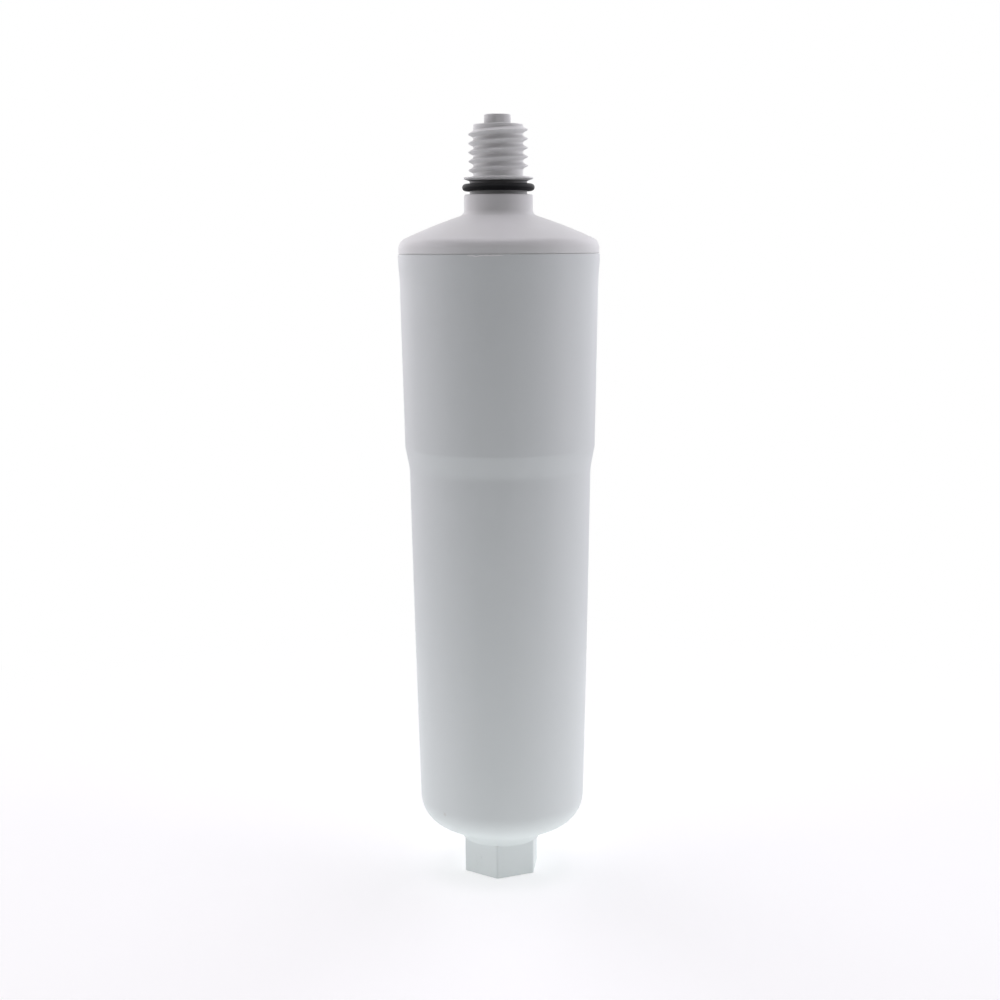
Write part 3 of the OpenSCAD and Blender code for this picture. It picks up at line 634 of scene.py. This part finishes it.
# Near-black painted shade, mixed into the groove floor's colour.
groove_shaded = add_node(tree, "Mix", data_type="RGBA", sockets={"B": (0.012, 0.012, 0.013, 1)})
wire(tree, (groove_shade_place, "Object", groove_shade_axes, 0), (groove_shade_place, "Object", groove_shade_level, 0),
     (groove_shade_level, 0, groove_shade_reach, 0))
groove_shade_share = add_node(tree, "MapRange", sockets={"From Min": 186.0 * mm, "From Max": 187.4 * mm,
                                                 "To Min": 0.55, "To Max": 0.97})
wire(tree, (groove_shade_axes, "Z", groove_shade_share, "Value"))
for source, output, outside, inside in ((groove_shade_reach, "Value", groove_radius + 0.35, groove_radius + 0.2),
                                        (groove_shade_reach, "Value", groove_radius - 0.35, groove_radius - 0.2),
                                        (groove_shade_axes, "Z", groove_foot - 0.1, groove_foot + 0.05),
                                        (groove_shade_axes, "Z", groove_head, groove_head - 0.15)):
    limit = add_node(tree, "MapRange", sockets={"From Min": outside * mm, "From Max": inside * mm})
    product = add_node(tree, "Math", operation="MULTIPLY")
    wire(tree, (source, output, limit, "Value"), (limit, 0, product, 0), (groove_shade_share, 0, product, 1))
    groove_shade_share = product
wire(tree, (groove_shade_share, 0, groove_shaded, "Factor"), (worn, "Result", groove_shaded, "A"),
     (groove_shaded, "Result", shader, "Base Color"))
cap_moulding.data.materials.append(cap_plastic)
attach(cap_moulding, "root")
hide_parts("top_cap")


# Neck seal: an O-ring in black nitrile rubber, moulded in two halves, so a fine line of flash runs
# round its outside. It is stretched into the groove between collar and flange.
seal_low, seal_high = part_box("neck_o_ring")
cord_radius, seal_middle = (seal_high.z - seal_low.z) / 2, (seal_low.z + seal_high.z) / 2
ring_radius = seal_high.x - cord_radius
bpy.ops.object.select_all(action="DESELECT")
bpy.ops.mesh.primitive_torus_add(
    major_segments=180, minor_segments=36, major_radius=ring_radius, minor_radius=cord_radius,
    location=(0, 0, seal_middle))
neck_seal = bpy.context.object
neck_seal.name = "neck_seal"
bpy.ops.object.transform_apply(location=True, rotation=True, scale=True)
for vertex in neck_seal.data.vertices:
    outside = vertex.co.xy.length > ring_radius
    vertex.select = outside and abs(vertex.co.z - seal_middle) < 0.02 * mm
seam_growth = 1 + 0.03 / 9.5
bpy.ops.object.mode_set(mode="EDIT")
bpy.ops.transform.resize(value=(seam_growth, seam_growth, 1), center_override=(0, 0, 0))
bpy.ops.object.mode_set(mode="OBJECT")
smooth(neck_seal, 40)
neck_seal.data.materials.append(seal_rubber)
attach(neck_seal, "root")
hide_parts("neck_o_ring")


# Studio: a pale floor that keeps the soft shadow, a white surround, and large soft lamps. Light
# comes mostly from behind and from the sides, and off the floor from below.
bpy.ops.object.select_all(action="DESELECT")
bpy.ops.mesh.primitive_circle_add(vertices=96, radius=4, fill_type="NGON", location=(0, 0, 0))
floor = bpy.context.object
floor.name = "studio_floor"
floor_paint = bpy.data.materials.new("floor_paint")
floor_paint.use_nodes = True
tree = floor_paint.node_tree
tree.nodes.clear()
place = add_node(tree, "TexCoord")
reach = add_node(tree, "VectorMath", operation="LENGTH")
far = add_node(tree, "MapRange", interpolation_type="SMOOTHSTEP",
               sockets={"From Min": 0.10, "From Max": 0.30})
matt = add_node(tree, "BsdfDiffuse", sockets={"Color": (0.82, 0.82, 0.82, 1)})
seen = add_node(tree, "LightPath")
glow = add_node(tree, "Emission")
glow_strength = add_node(tree, "Math", operation="MULTIPLY", sockets={1: 0.42})
lifted = add_node(tree, "AddShader")
white = add_node(tree, "Emission", sockets={"Strength": 1.0})
far_seen = add_node(tree, "Math", operation="MULTIPLY")
shown = add_node(tree, "MixShader")
output = add_node(tree, "OutputMaterial")
wire(tree, (place, "Object", reach, 0), (reach, "Value", far, "Value"),
     (seen, "Is Camera Ray", glow_strength, 0), (glow_strength, 0, glow, "Strength"), (matt, 0, lifted, 0),
     (glow, 0, lifted, 1), (far, "Result", far_seen, 0), (seen, "Is Camera Ray", far_seen, 1),
     (far_seen, 0, shown, 0), (lifted, 0, shown, 1), (white, 0, shown, 2), (shown, 0, output, "Surface"))
floor.data.materials.append(floor_paint)

surround = bpy.data.worlds.new("surround")
surround.use_nodes = True
bpy.context.scene.world = surround
tree = surround.node_tree
background = tree.nodes["Background"]
fill_light = 0.025
seen = add_node(tree, "LightPath")
camera_or_gloss = add_node(tree, "Math", operation="MAXIMUM")
any_seen = add_node(tree, "Math", operation="MAXIMUM")
strength = add_node(tree, "MapRange", sockets={"To Min": fill_light, "To Max": 1.0})
wire(tree, (seen, "Is Camera Ray", camera_or_gloss, 0), (seen, "Is Glossy Ray", camera_or_gloss, 1),
     (camera_or_gloss, 0, any_seen, 0), (seen, "Is Transmission Ray", any_seen, 1),
     (any_seen, 0, strength, "Value"), (strength, "Result", background, "Strength"))
background.inputs["Color"].default_value = (1, 1, 1, 1)

# name, place, aim, width and height in metres, brightness (1 is white), tint
lamps = [
    ("back_left", (-0.75, 0.75, 0.55), (0, 0, 0.1), 0.9, 1.1, 1.30, (1.0, 0.96, 1.02)),
    ("back_right", (0.75, 0.75, 0.55), (0, 0, 0.1), 0.9, 1.1, 1.18, (0.98, 0.97, 1.05)),
    ("side_left", (-1.0, -0.05, 0.45), (0, 0, 0.1), 0.8, 0.9, 1.32, (1.01, 0.96, 1.02)),
    ("side_right", (1.0, -0.05, 0.45), (0, 0, 0.1), 0.8, 0.9, 1.59, (1.0, 0.96, 1.03)),
    ("overhead", (0, 0, 1.1), (0, 0, 0), 0.8, 0.8, 2.0, (1.0, 0.96, 1.03)),
    ("floor_light", (0, 0, 0.00005), (0, 0, 1), 0.5, 0.5, 0.40, (0.95, 1.02, 1.01)),
]
for name, place, aim, width, height, brightness, tint in lamps:
    lamp = bpy.data.lights.new(name, "AREA")
    lamp.shape = "ELLIPSE" if name == "floor_light" else "RECTANGLE"
    lamp.size, lamp.size_y = width, height
    lamp.energy = brightness * math.pi * width * height
    lamp.color = tint
    holder = bpy.data.objects.new(name, lamp)
    bpy.context.scene.collection.objects.link(holder)
    holder.location = place
    holder.rotation_euler = (Vector(aim) - Vector(place)).to_track_quat("-Z", "Y").to_euler()
    holder.visible_camera = False

# The camera stands 428 mm in front of the axis, looks down nine degrees and leans a third of one.
camera = bpy.data.objects.new("camera", bpy.data.cameras.new("camera"))
bpy.context.scene.collection.objects.link(camera)
camera.data.lens, camera.data.sensor_width = 57.6, 36.0
camera.matrix_world = (Matrix.Translation((-0.0001, -0.4284, 0.171))
                       @ Matrix.Rotation(math.radians(81.05), 4, "X")
                       @ Matrix.Rotation(math.radians(-0.36), 4, "Z"))
camera.data.clip_start = 0.01
bpy.context.scene.camera = camera
bpy.context.scene.view_settings.view_transform = "Standard"
